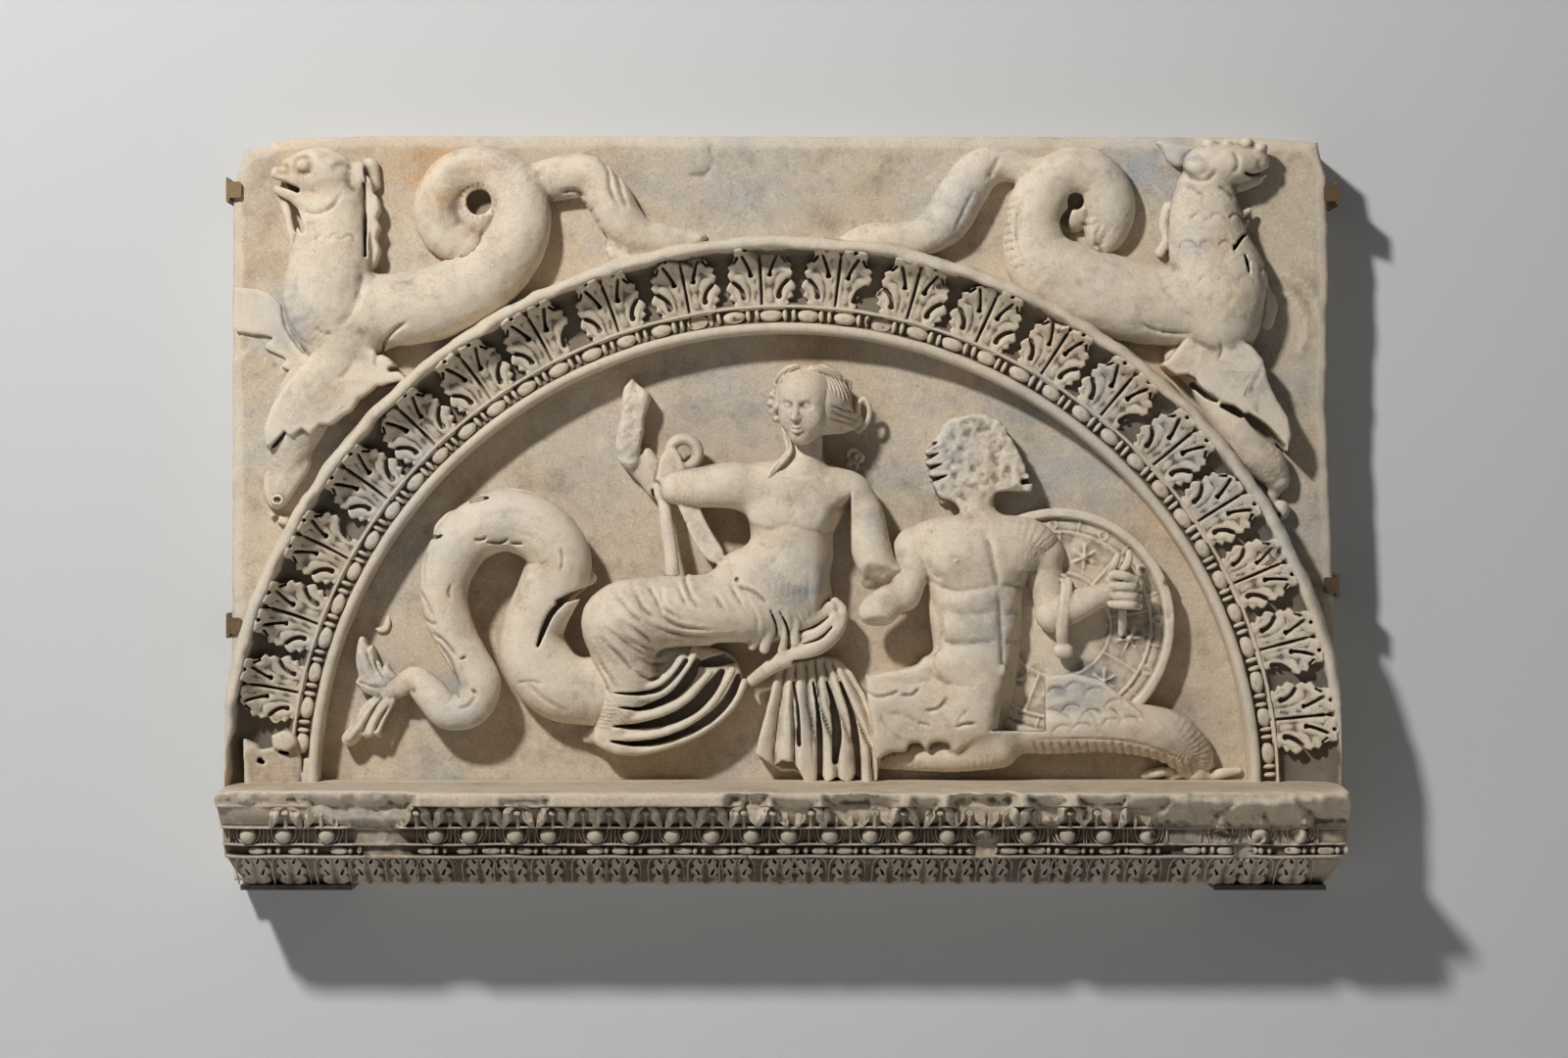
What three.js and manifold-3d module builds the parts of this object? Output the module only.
// Marble relief plaque. A round arch frames a shallow lunette in which a draped sea nymph
// rides on the coiled fish tail of a sea centaur with a shield. Two sea monsters lie on the
// flat ground above the arch, and a carved cornice stands out along the foot. The marble is
// one block. Four strip clips and two plates of metal hold it to a wall.
// Millimetres: X to the right, Y into the wall, Z up. The origin is the middle of the flat
// back, so everything carved stands out towards -Y. Depths are given as how far a surface
// stands out from the wall.

import * as THREE from 'three';
import { mergeVertices } from 'three/addons/utils/BufferGeometryUtils.js';
import { ParametricGeometry } from 'three/addons/geometries/ParametricGeometry.js';
import Module from 'manifold-3d';

const wasm = await Module();
wasm.setup();

// ---------------------------------------------------------------- driving sizes

const SLAB = { left: -652, right: 652, top: 442, bottom: -443, bow: 4 };
const GROUND = 85;             // flat ground beside and above the arch
const LUNETTE = 58;            // sunk ground inside the arch
const SINK = 14;               // how far carved forms reach back into their ground

const ARCH = {
  x: 4, z: -330,               // centre of the half circles
  inner: 538, fillet: 554, channel: 577, leaves: 633, rim: 648,
  filletFront: 104, channelFront: 90, rollFront: 101, leafFoot: 98, leafTop: 132, rimFront: 150,
};
const ARCH_STEPS = 76;         // steps in a whole turn
const ARCH_LEAVES = { count: 20, first: 16.5, step: 8.45, rise: 13, root: 10 };

const LEDGE = { back: -321, front: -329 };
const CORNICE = { left: -648, right: 655, front: 225 };
const RIGHT_BLOCK = { left: 438, foot: -367, front: 222 };
const LEFT_BREAK = { right: -432, foot: -368 };

const CLIP = { tall: 30, finger: 19, reach: 18, thick: 4 };
const CLIP_PLACES = [
  { name: 'clip_upper_left', side: -1, z: 377 },
  { name: 'clip_lower_left', side: -1, z: -139 },
  { name: 'clip_upper_right', side: 1, z: 373 },
  { name: 'clip_lower_right', side: 1, z: -91 },
];
const PLATE = { wide: 131, deep: 116, thick: 6, left: -636, right: 641 };
const GAP = 0.4;               // air between metal and marble

// ---------------------------------------------------------------- helpers

const OUT = new THREE.Vector3(0, -1, 0);
const UP = new THREE.Vector3(0, 0, 1);

// A closed geometry becomes a solid: loose corners are welded, slivers dropped, faces turned out.
function solid(geometry) {
  const bare = geometry.clone();
  bare.deleteAttribute('normal');
  bare.deleteAttribute('uv');
  const merged = mergeVertices(bare, 1e-3);
  const at = merged.attributes.position;
  const index = merged.index.array;
  const corners = [];
  const [a, b, c] = [new THREE.Vector3(), new THREE.Vector3(), new THREE.Vector3()];
  let volume = 0;
  for (let i = 0; i < index.length; i += 3) {
    const [p, q, r] = [index[i], index[i + 1], index[i + 2]];
    if (p === q || q === r || r === p) continue;
    corners.push(p, q, r);
    a.fromBufferAttribute(at, p);
    b.fromBufferAttribute(at, q);
    c.fromBufferAttribute(at, r);
    volume += a.dot(b.cross(c));
  }
  if (volume < 0) corners.reverse();
  return new wasm.Manifold(new wasm.Mesh({
    numProp: 3,
    vertProperties: new Float32Array(at.array),
    triVerts: new Uint32Array(corners),
  }));
}

function joined(solids) {
  return solids.reduce((whole, next) => whole.add(next));
}

// A flat outline in the XZ plane, carried out of the wall from one depth to another.
function plate(outline, back, front) {
  const shape = new THREE.Shape(outline.map(([x, z]) => new THREE.Vector2(x, z)));
  const geometry = new THREE.ExtrudeGeometry(shape, { depth: front - back, bevelEnabled: false });
  geometry.rotateX(Math.PI / 2);
  geometry.translate(0, -back, 0);
  return solid(geometry);
}

// A profile of [depth, z] points carried along X.
function moulding(profile, left, right) {
  const shape = new THREE.Shape(profile.map(([depth, z]) => new THREE.Vector2(depth, z)));
  const geometry = new THREE.ExtrudeGeometry(shape, { depth: right - left, bevelEnabled: false });
  geometry.applyMatrix4(new THREE.Matrix4().makeBasis(OUT, UP, new THREE.Vector3(-1, 0, 0)));
  geometry.translate(right, 0, 0);
  return solid(geometry);
}

// A ring or disc about an axis that comes straight out of the wall at x, z.
function turned(profile, x, z, steps) {
  const points = profile.map(([radius, depth]) => new THREE.Vector2(radius, -depth));
  const geometry = new THREE.LatheGeometry(points, steps);
  geometry.translate(x, 0, z);
  return solid(geometry);
}

// A rounded mass: centre, width, height, front and an optional turn in the plane of the wall.
function lump(x, z, wide, tall, front, { back = LUNETTE - SINK, turn = 0, fine = 7 } = {}) {
  const geometry = new THREE.SphereGeometry(1, fine, Math.ceil(fine / 2) + 1);
  geometry.rotateX(Math.PI / 2);
  geometry.scale(wide / 2, (front - back) / 2, tall / 2);
  geometry.rotateY(-THREE.MathUtils.degToRad(turn));
  geometry.translate(x, -(front + back) / 2, z);
  return solid(geometry);
}

// A limb, neck, tail or fold: stations of [x, z, width, front] joined by a smooth skin. All its
// sides but one face the viewer, and the last runs back into the ground as a keel.
const BUTT = -0.35;
const FOLD = { sides: 5, steps: 1 };
const BODY = { sides: 8, steps: 1 };
const COIL = { sides: 7, steps: 1.4 };
function limb(stations, { back = LUNETTE - SINK, sides = 6, steps = 1.5 } = {}) {
  const line = new THREE.CatmullRomCurve3(stations.map(([x, z]) => new THREE.Vector3(x, 0, z)));
  const size = new THREE.CatmullRomCurve3(
    stations.map(([, , wide, front]) => new THREE.Vector3(wide, front, 0)));
  const rows = Math.round(steps * (stations.length - 1)) + 2;
  const tip = 0.5 / rows;
  const skin = (u, v, target) => {
    const row = Math.round(v * rows);
    const along = THREE.MathUtils.clamp((row - 0.5) / (rows - 1), 0, 1);
    const swell = row === 0 || row === rows ? 0 : 1;
    const middle = line.getPoint(along);
    const tangent = line.getTangent(THREE.MathUtils.clamp(along, tip, 1 - tip));
    const { x: wide, y: front } = size.getPoint(along);
    const side = Math.round(u * sides) % sides;
    const turn = side === sides - 1 ? 1.5 * Math.PI : BUTT + side * (Math.PI - 2 * BUTT) / (sides - 2);
    const across = swell * (wide / 2) * Math.cos(turn);
    const outward = (front + back) / 2 + swell * ((front - back) / 2) * Math.sin(turn);
    target.set(middle.x - tangent.z * across, -outward, middle.z + tangent.x * across);
  };
  return solid(new ParametricGeometry(skin, sides, rows));
}

function mesh(name, whole, { colour, roughness, metalness }) {
  const { vertProperties, triVerts } = whole.getMesh();
  const geometry = new THREE.BufferGeometry();
  geometry.setAttribute('position', new THREE.BufferAttribute(vertProperties, 3));
  geometry.setIndex(new THREE.BufferAttribute(triVerts, 1));
  geometry.computeVertexNormals();
  const piece = new THREE.Mesh(
    geometry, new THREE.MeshStandardMaterial({ color: colour, roughness, metalness }));
  piece.name = name;
  return piece;
}

// ---------------------------------------------------------------- the block

function block() {
  const { left, right, top, bottom, bow } = SLAB;
  const outline = [
    [left, bottom + 8], [left + 8, bottom], [right - 12, bottom], [right + bow, bottom + 26],
    [right + bow, -95], [right - 6, 120], [right - 2, 300], [right - 10, top - 9],
    [right - 50, top - 5], [right - 110, top], [-500, top], [-560, top - 2], [-600, top - 5],
    [-606, top - 12], [-637, top - 17], [-647, top - 28], [left + 2, 380], [left, 0],
  ];
  const body = plate(outline, 0, GROUND);
  const recess = turned(
    [[0, LUNETTE], [ARCH.inner + 6, LUNETTE], [ARCH.inner + 6, GROUND + 20], [0, GROUND + 20]],
    ARCH.x, ARCH.z, ARCH_STEPS);
  return body.subtract(recess);
}

function arch() {
  const { inner, fillet, channel, leaves, rim } = ARCH;
  const back = LUNETTE - SINK;
  const ring = turned([
    [inner, back], [inner, ARCH.filletFront], [fillet, ARCH.filletFront + 2],
    [fillet + 2, ARCH.channelFront], [fillet + 7, ARCH.rollFront],
    [channel - 7, ARCH.rollFront], [channel - 2, ARCH.channelFront],
    [channel, ARCH.leafFoot], [leaves, ARCH.leafTop], [leaves, ARCH.rimFront - 4],
    [leaves + 6, ARCH.rimFront], [rim, ARCH.rimFront - 8], [rim + 8, back], [inner, back],
  ], ARCH.x, ARCH.z, ARCH_STEPS);
  const below = plate(
    [[-700, -1000], [700, -1000], [700, ARCH.z], [-700, ARCH.z]], 0, CORNICE.front);
  return ring.subtract(below);
}

// One pointed leaf with two lobes on each side, leaning out with the hollow of the arch.
function archLeaf(degrees) {
  const across = ARCH.leaves - ARCH.channel;
  const outward = ARCH.leafTop - ARCH.leafFoot;
  const long = Math.hypot(across, outward);
  const lean = Math.atan2(outward, across);
  const half = [[25, 0], [19, 0.4 * long], [31, 0.7 * long]];
  const outline = [...half, [0, long], ...half.map(([x, z]) => [-x, z]).reverse()];
  const shape = new THREE.Shape(outline.map(([x, z]) => new THREE.Vector2(x, z)));
  const { rise, root } = ARCH_LEAVES;
  const geometry = new THREE.ExtrudeGeometry(shape, { depth: rise + root, bevelEnabled: false });
  geometry.translate(0, 0, -root);
  geometry.rotateX(Math.PI / 2 + lean);
  geometry.translate(0, -ARCH.leafFoot, ARCH.channel);
  geometry.rotateY(THREE.MathUtils.degToRad(90 - degrees));
  geometry.translate(ARCH.x, 0, ARCH.z);
  return solid(geometry);
}

function repeated(count, first, step, make) {
  return Array.from({ length: count }, (_, i) => make(first + i * step));
}

// ---------------------------------------------------------------- the cornice

function cornice() {
  const front = CORNICE.front;
  const profile = [
    [10, LEDGE.back - 4], [LUNETTE, LEDGE.back], [front - 4, LEDGE.front + 1], [front, LEDGE.front - 3],
    [front, -344], [front - 9, -347], [front - 12, -356], [front - 27, -370],
    [front - 33, -374], [front - 34, -386], [front - 44, -391], [front - 44, -404],
    [front - 57, -407], [front - 94, -430], [front - 108, -441], [front - 112, SLAB.bottom],
    [10, SLAB.bottom],
  ];
  const run = moulding(profile, CORNICE.left, CORNICE.right);
  const leftBreak = moulding(
    [[front - 30, LEDGE.front + 20], [front - 27, LEDGE.front], [front - 14, LEFT_BREAK.foot],
      [front + 20, LEFT_BREAK.foot], [front + 20, LEDGE.front + 20]],
    CORNICE.left - 10, LEFT_BREAK.right);
  const rightBlock = moulding(
    [[LUNETTE, LEDGE.front - 2], [RIGHT_BLOCK.front, LEDGE.front - 2],
      [RIGHT_BLOCK.front - 2, RIGHT_BLOCK.foot], [LUNETTE, RIGHT_BLOCK.foot]],
    RIGHT_BLOCK.left, CORNICE.right - 1);
  // The right end is worn round in plan.
  const endCut = plate([[640, SLAB.bottom - 1], [670, SLAB.bottom - 1], [670, -385], [655, -385]],
    0.5, front + 5);
  return run.subtract(leftBreak).add(rightBlock).subtract(endCut);
}

// ---------------------------------------------------------------- the nymph

function nymph() {
  const torso = limb([
    [28, 74, 44, 116], [33, 36, 122, 120], [22, 2, 122, 132], [14, -32, 114, 130],
    [8, -66, 112, 124], [0, -104, 126, 130], [0, -150, 120, 132],
  ], BODY);
  const head = lump(34, 121, 74, 98, 168, { turn: -8, fine: 10 });
  const hair = lump(50, 122, 90, 92, 158, { turn: -8 });
  const ribbon = lump(97, 118, 16, 32, 112);
  const breasts = [lump(-12, -2, 46, 42, 142), lump(44, 2, 50, 44, 142)];
  const bentArm = limb([
    [6, 26, 46, 118], [-40, 30, 54, 128], [-90, 30, 54, 130], [-134, 30, 48, 126]]);
  const brokenArm = limb([
    [-142, 34, 40, 120], [-168, 52, 48, 120], [-178, 86, 40, 116], [-176, 122, 34, 112],
    [-171, 154, 14, 100]], FOLD);
  const restingArm = limb([
    [90, 26, 50, 118], [104, -16, 44, 122], [116, -56, 42, 128], [120, -88, 34, 130]]);
  const scroll = turned([[8, 60], [17, 60], [17, 108], [8, 108], [8, 60]], -115, 65, 10);
  const blade = limb([[-126, 42, 20, 98], [-106, -6, 26, 98], [-78, -58, 16, 90]], FOLD);
  const strut = limb([[-138, 28, 14, 90], [-128, -82, 16, 90]], FOLD);
  return [torso, head, hair, ribbon, ...breasts, bentArm, brokenArm, restingArm, scroll, blade, strut];
}

// Cloth over the thigh and shin, and the free end that hangs over the ledge. Each set of
// folds fans out from a short row of gathers.
function drapery() {
  const thigh = limb([
    [58, -140, 60, 122], [0, -128, 88, 138], [-70, -126, 96, 150], [-140, -128, 98, 160],
    [-196, -146, 80, 156], [-214, -170, 44, 130]], BODY);
  const shin = limb([
    [-196, -140, 66, 150], [-204, -190, 74, 140], [-196, -240, 78, 130], [-206, -280, 56, 112]]);
  const lap = limb([[0, -160, 60, 116], [-70, -190, 90, 112], [-150, -230, 110, 108]]);
  const sweeping = [0, 1, 2, 3].map((fold) => {
    const drop = 19 * fold;
    return limb([
      [-188 - fold, -222 - drop, 14, 122], [-148, -222 - drop, 17, 128 - 2 * fold],
      [-112 + 6 * fold, -206 - drop * 0.9, 16, 126 - 2 * fold],
      [-92 + 10 * fold, -176 - drop * 0.72, 12, 116]], FOLD);
  });
  const hanging = limb([
    [34, -160, 90, 116], [42, -220, 110, 106], [44, -270, 124, 100], [46, -316, 120, 96]]);
  const hangingFolds = [0, 1, 2, 3].map((fold) => limb([
    [8 + 15 * fold, -180, 12, 122], [-4 + 26 * fold, -240, 17, 118],
    [-18 + 37 * fold, -296 - 6 * fold, 18, 112]], FOLD));
  const hipRolls = [
    limb([[8, -138, 24, 140], [36, -120, 30, 142], [66, -114, 22, 128]], FOLD),
    limb([[24, -170, 20, 132], [56, -150, 24, 128]], FOLD),
  ];
  return [thigh, shin, lap, ...sweeping, hanging, ...hangingFolds, ...hipRolls];
}

// ---------------------------------------------------------------- the sea centaur

function triton() {
  const torso = limb([
    [230, 8, 48, 104], [236, -34, 160, 118], [238, -66, 166, 128], [240, -104, 142, 124],
    [244, -152, 128, 120], [250, -200, 132, 120], [252, -250, 110, 110],
  ], BODY);
  const head = lump(233, 60, 116, 96, 124, { fine: 10 });
  const neck = limb([[226, -12, 46, 106], [232, 30, 56, 108]]);
  const chest = [lump(210, -66, 84, 56, 136), lump(276, -66, 62, 56, 134)];
  const leftUpper = limb([[166, -44, 50, 112], [158, -84, 38, 112], [153, -118, 34, 112]]);
  const stump = lump(117, -118, 50, 54, 126);
  const rightUpper = limb([[308, -42, 56, 112], [324, -84, 46, 118], [318, -130, 44, 122]]);
  const forearm = limb([[316, -126, 42, 122], [352, -108, 38, 130], [390, -97, 28, 134]]);
  const fist = lump(402, -92, 42, 56, 146);
  const strap = limb([[336, -84, 14, 110], [335, -172, 13, 104]], FOLD);
  const locks = [-1, 1].flatMap((side) => [0, 1].map((row) => limb([
    [232 + side * 26, 62 - 22 * row, 18, 112],
    [232 + side * (58 - 6 * row), 54 - 28 * row, 13, 104]], FOLD)));
  return [torso, head, neck, ...chest, leftUpper, stump, rightUpper, forearm, fist, strap, ...locks];
}

function shield() {
  return turned([
    [0, LUNETTE - 8], [0, 82], [110, 76], [112, 80], [126, 76], [129, 82],
    [137, 80], [137, LUNETTE - 8], [0, LUNETTE - 8],
  ], 325, -137, 28);
}

// The fish body: leafy aprons on each hip, then the tail that curls along the ledge.
function tritonTail() {
  const leftApron = plate([
    [92, -197], [160, -184], [196, -176], [250, -186], [252, -250], [235, -262], [203, -291],
    [190, -277], [165, -278], [145, -286], [118, -250]], LUNETTE - SINK, 112);
  const rightApron = plate([
    [250, -200], [300, -204], [345, -197], [400, -225], [434, -266], [404, -276], [384, -262],
    [360, -272], [340, -266], [300, -277], [252, -266]], LUNETTE - SINK, 100);
  const hip = lump(222, -226, 90, 92, 130);
  const belly = lump(372, -268, 90, 34, 92);
  const under = limb([[150, -296, 30, 100], [206, -298, 38, 108], [262, -288, 44, 110],
    [330, -282, 46, 106], [392, -282, 42, 104], [440, -264, 46, 108], [480, -268, 44, 108],
    [502, -306, 26, 96]]);
  return [leftApron, rightApron, hip, belly, under];
}

function seaBeastTail() {
  const tail = limb([
    [-236, -226, 90, 108], [-286, -186, 80, 112], [-288, -130, 72, 114], [-262, -80, 80, 116],
    [-262, -38, 74, 118], [-300, -10, 68, 118], [-348, -20, 64, 116], [-386, -54, 60, 114],
    [-396, -104, 54, 112], [-376, -160, 50, 110], [-356, -204, 46, 108], [-374, -238, 42, 104],
    [-404, -220, 30, 100], [-424, -192, 24, 98], [-458, -206, 22, 96],
  ], BODY);
  const flukes = [
    limb([[-446, -204, 26, 96], [-482, -198, 30, 92], [-500, -156, 10, 78]], FOLD),
    limb([[-446, -206, 28, 96], [-484, -236, 38, 92], [-516, -272, 12, 78]], FOLD),
  ];
  const fins = [
    limb([[-368, 2, 10, 94], [-330, 20, 18, 100], [-286, 22, 10, 96]], FOLD),
    limb([[-226, -84, 8, 80], [-250, -108, 22, 104], [-280, -106, 8, 96]], FOLD),
    limb([[-424, -92, 8, 78], [-420, -112, 16, 98], [-402, -136, 8, 96]], FOLD),
  ];
  return [tail, ...flukes, ...fins];
}

// ---------------------------------------------------------------- the sea monsters

const ON_SPANDREL = { back: GROUND - SINK };

function leftMonster() {
  const coil = limb([
    [-532, 224, 110, 130], [-456, 232, 90, 128], [-394, 248, 80, 128], [-340, 286, 70, 132],
    [-308, 342, 66, 134], [-324, 388, 54, 132], [-362, 400, 46, 128], [-402, 380, 52, 122],
    [-408, 336, 54, 116], [-388, 304, 40, 106],
  ], { ...ON_SPANDREL, ...COIL });
  const tailEnd = limb([
    [-306, 386, 46, 122], [-248, 392, 54, 124], [-210, 372, 50, 120], [-192, 332, 46, 114],
    [-164, 316, 44, 108], [-92, 318, 12, 98]], ON_SPANDREL);
  const neck = limb([
    [-548, 384, 84, 132], [-530, 336, 88, 128], [-528, 280, 100, 130], [-536, 226, 108, 132],
    [-540, 176, 60, 122]], { ...ON_SPANDREL, ...COIL });
  const head = lump(-552, 396, 98, 60, 144, { ...ON_SPANDREL, turn: -8 });
  const snout = lump(-584, 396, 36, 30, 140, ON_SPANDREL);
  const jaw = limb([[-596, 372, 12, 128], [-566, 352, 24, 132], [-530, 352, 26, 126]],
    { ...ON_SPANDREL, ...FOLD });
  const shoulder = lump(-510, 200, 70, 60, 118, ON_SPANDREL);
  const crest = limb([
    [-484, 396, 16, 122], [-478, 356, 14, 118], [-472, 306, 12, 112]], { ...ON_SPANDREL, ...FOLD });
  const foreleg = limb([
    [-514, 208, 84, 122], [-560, 166, 50, 118], [-592, 124, 34, 112], [-603, 70, 22, 106],
    [-604, 24, 20, 102], [-594, -14, 12, 98]], ON_SPANDREL);
  const fin = plate([
    [-602, 74], [-580, 84], [-552, 88], [-535, 100], [-515, 110], [-500, 118], [-485, 135],
    [-455, 144], [-462, 190], [-540, 200], [-596, 132]], GROUND - SINK, 104);
  return [coil, tailEnd, neck, head, snout, jaw, shoulder, crest, foreleg, fin];
}

function rightMonster() {
  const coil = limb([
    [514, 234, 118, 130], [452, 242, 92, 128], [392, 254, 82, 128], [334, 282, 74, 132],
    [297, 332, 68, 134], [310, 380, 60, 132], [350, 402, 48, 128], [390, 380, 52, 122],
    [392, 336, 50, 114], [372, 312, 34, 106],
  ], { ...ON_SPANDREL, ...COIL });
  const tailEnd = limb([
    [306, 396, 44, 122], [262, 408, 42, 124], [220, 398, 48, 122], [194, 360, 48, 118],
    [164, 326, 46, 112], [118, 318, 34, 104], [66, 312, 12, 96]], ON_SPANDREL);
  const neck = limb([
    [504, 396, 70, 130], [498, 348, 84, 126], [506, 300, 98, 128], [518, 240, 120, 132],
    [514, 192, 96, 122]], { ...ON_SPANDREL, ...COIL });
  const head = lump(518, 406, 96, 46, 144, { ...ON_SPANDREL, turn: 6 });
  const muzzle = lump(558, 398, 30, 34, 140, ON_SPANDREL);
  const ear = limb([[478, 404, 18, 120], [444, 432, 10, 104]], { ...ON_SPANDREL, ...FOLD });
  const spur = limb([[536, 292, 24, 112], [552, 342, 8, 98]], { ...ON_SPANDREL, ...FOLD });
  const wing = plate([
    [452, 170], [465, 186], [482, 210], [530, 208], [560, 190], [576, 142], [597, 100],
    [592, 74], [570, 103], [548, 113], [535, 120], [510, 134], [487, 142], [480, 157],
  ], GROUND - SINK, 112);
  const foreleg = limb([
    [462, 168, 26, 120], [512, 124, 30, 120], [560, 76, 28, 116], [592, 36, 24, 110],
    [590, -4, 20, 104]], ON_SPANDREL);
  return [coil, tailEnd, neck, head, muzzle, ear, spur, wing, foreleg];
}

// ---------------------------------------------------------------- the metal

// A strip straight out of the wall beside the slab, with a finger turned over the face.
function clip({ side, z }) {
  const { tall, finger, reach, thick } = CLIP;
  const edge = side < 0 ? -SLAB.left : SLAB.right + SLAB.bow;
  const inside = edge + GAP;
  const outside = inside + thick;
  const front = GROUND + GAP + thick;
  const strip = plate(mirrored([
    [inside, z - tall / 2 + 3], [outside - 1, z - tall / 2], [outside, z - tall / 2 + 2],
    [outside, z + tall / 2 - 2], [outside - 1, z + tall / 2], [inside, z + tall / 2 - 3]], side),
  0, front);
  const hook = plate(mirrored([
    [outside - reach, z - finger / 2 + 2], [outside - reach + 2, z - finger / 2],
    [outside - 0.5, z - finger / 2], [outside - 0.5, z + finger / 2],
    [outside - reach + 2, z + finger / 2], [outside - reach, z + finger / 2 - 2]], side),
  GROUND + GAP, front);
  return strip.add(hook);
}

function mirrored(outline, side) {
  return side > 0 ? outline : outline.map(([x, z]) => [-x, z]).reverse();
}

function supportPlate(left) {
  const top = SLAB.bottom - GAP;
  const right = left + PLATE.wide;
  return plate(
    [[left, top - PLATE.thick], [right, top - PLATE.thick], [right, top], [left, top]],
    0, PLATE.deep);
}

// ---------------------------------------------------------------- the whole plaque

const MARBLE = { colour: 0xbfae94, roughness: 0.72, metalness: 0 };
const BRONZE = { colour: 0x5d5047, roughness: 0.55, metalness: 0.6 };
const STEEL = { colour: 0x35312f, roughness: 0.6, metalness: 0.5 };

const marble = joined([
  block(), arch(), cornice(),
  ...repeated(ARCH_LEAVES.count, ARCH_LEAVES.first, ARCH_LEAVES.step, archLeaf),
  shield(), ...nymph(), ...drapery(), ...triton(), ...tritonTail(), ...seaBeastTail(),
  ...leftMonster(), ...rightMonster(),
]);

const plaque = new THREE.Group();
plaque.add(mesh('marble_relief', marble, MARBLE));
for (const place of CLIP_PLACES) plaque.add(mesh(place.name, clip(place), BRONZE));
plaque.add(mesh('support_plate_left', supportPlate(PLATE.left), STEEL));
plaque.add(mesh('support_plate_right', supportPlate(PLATE.right - PLATE.wide), STEEL));

export default plaque;
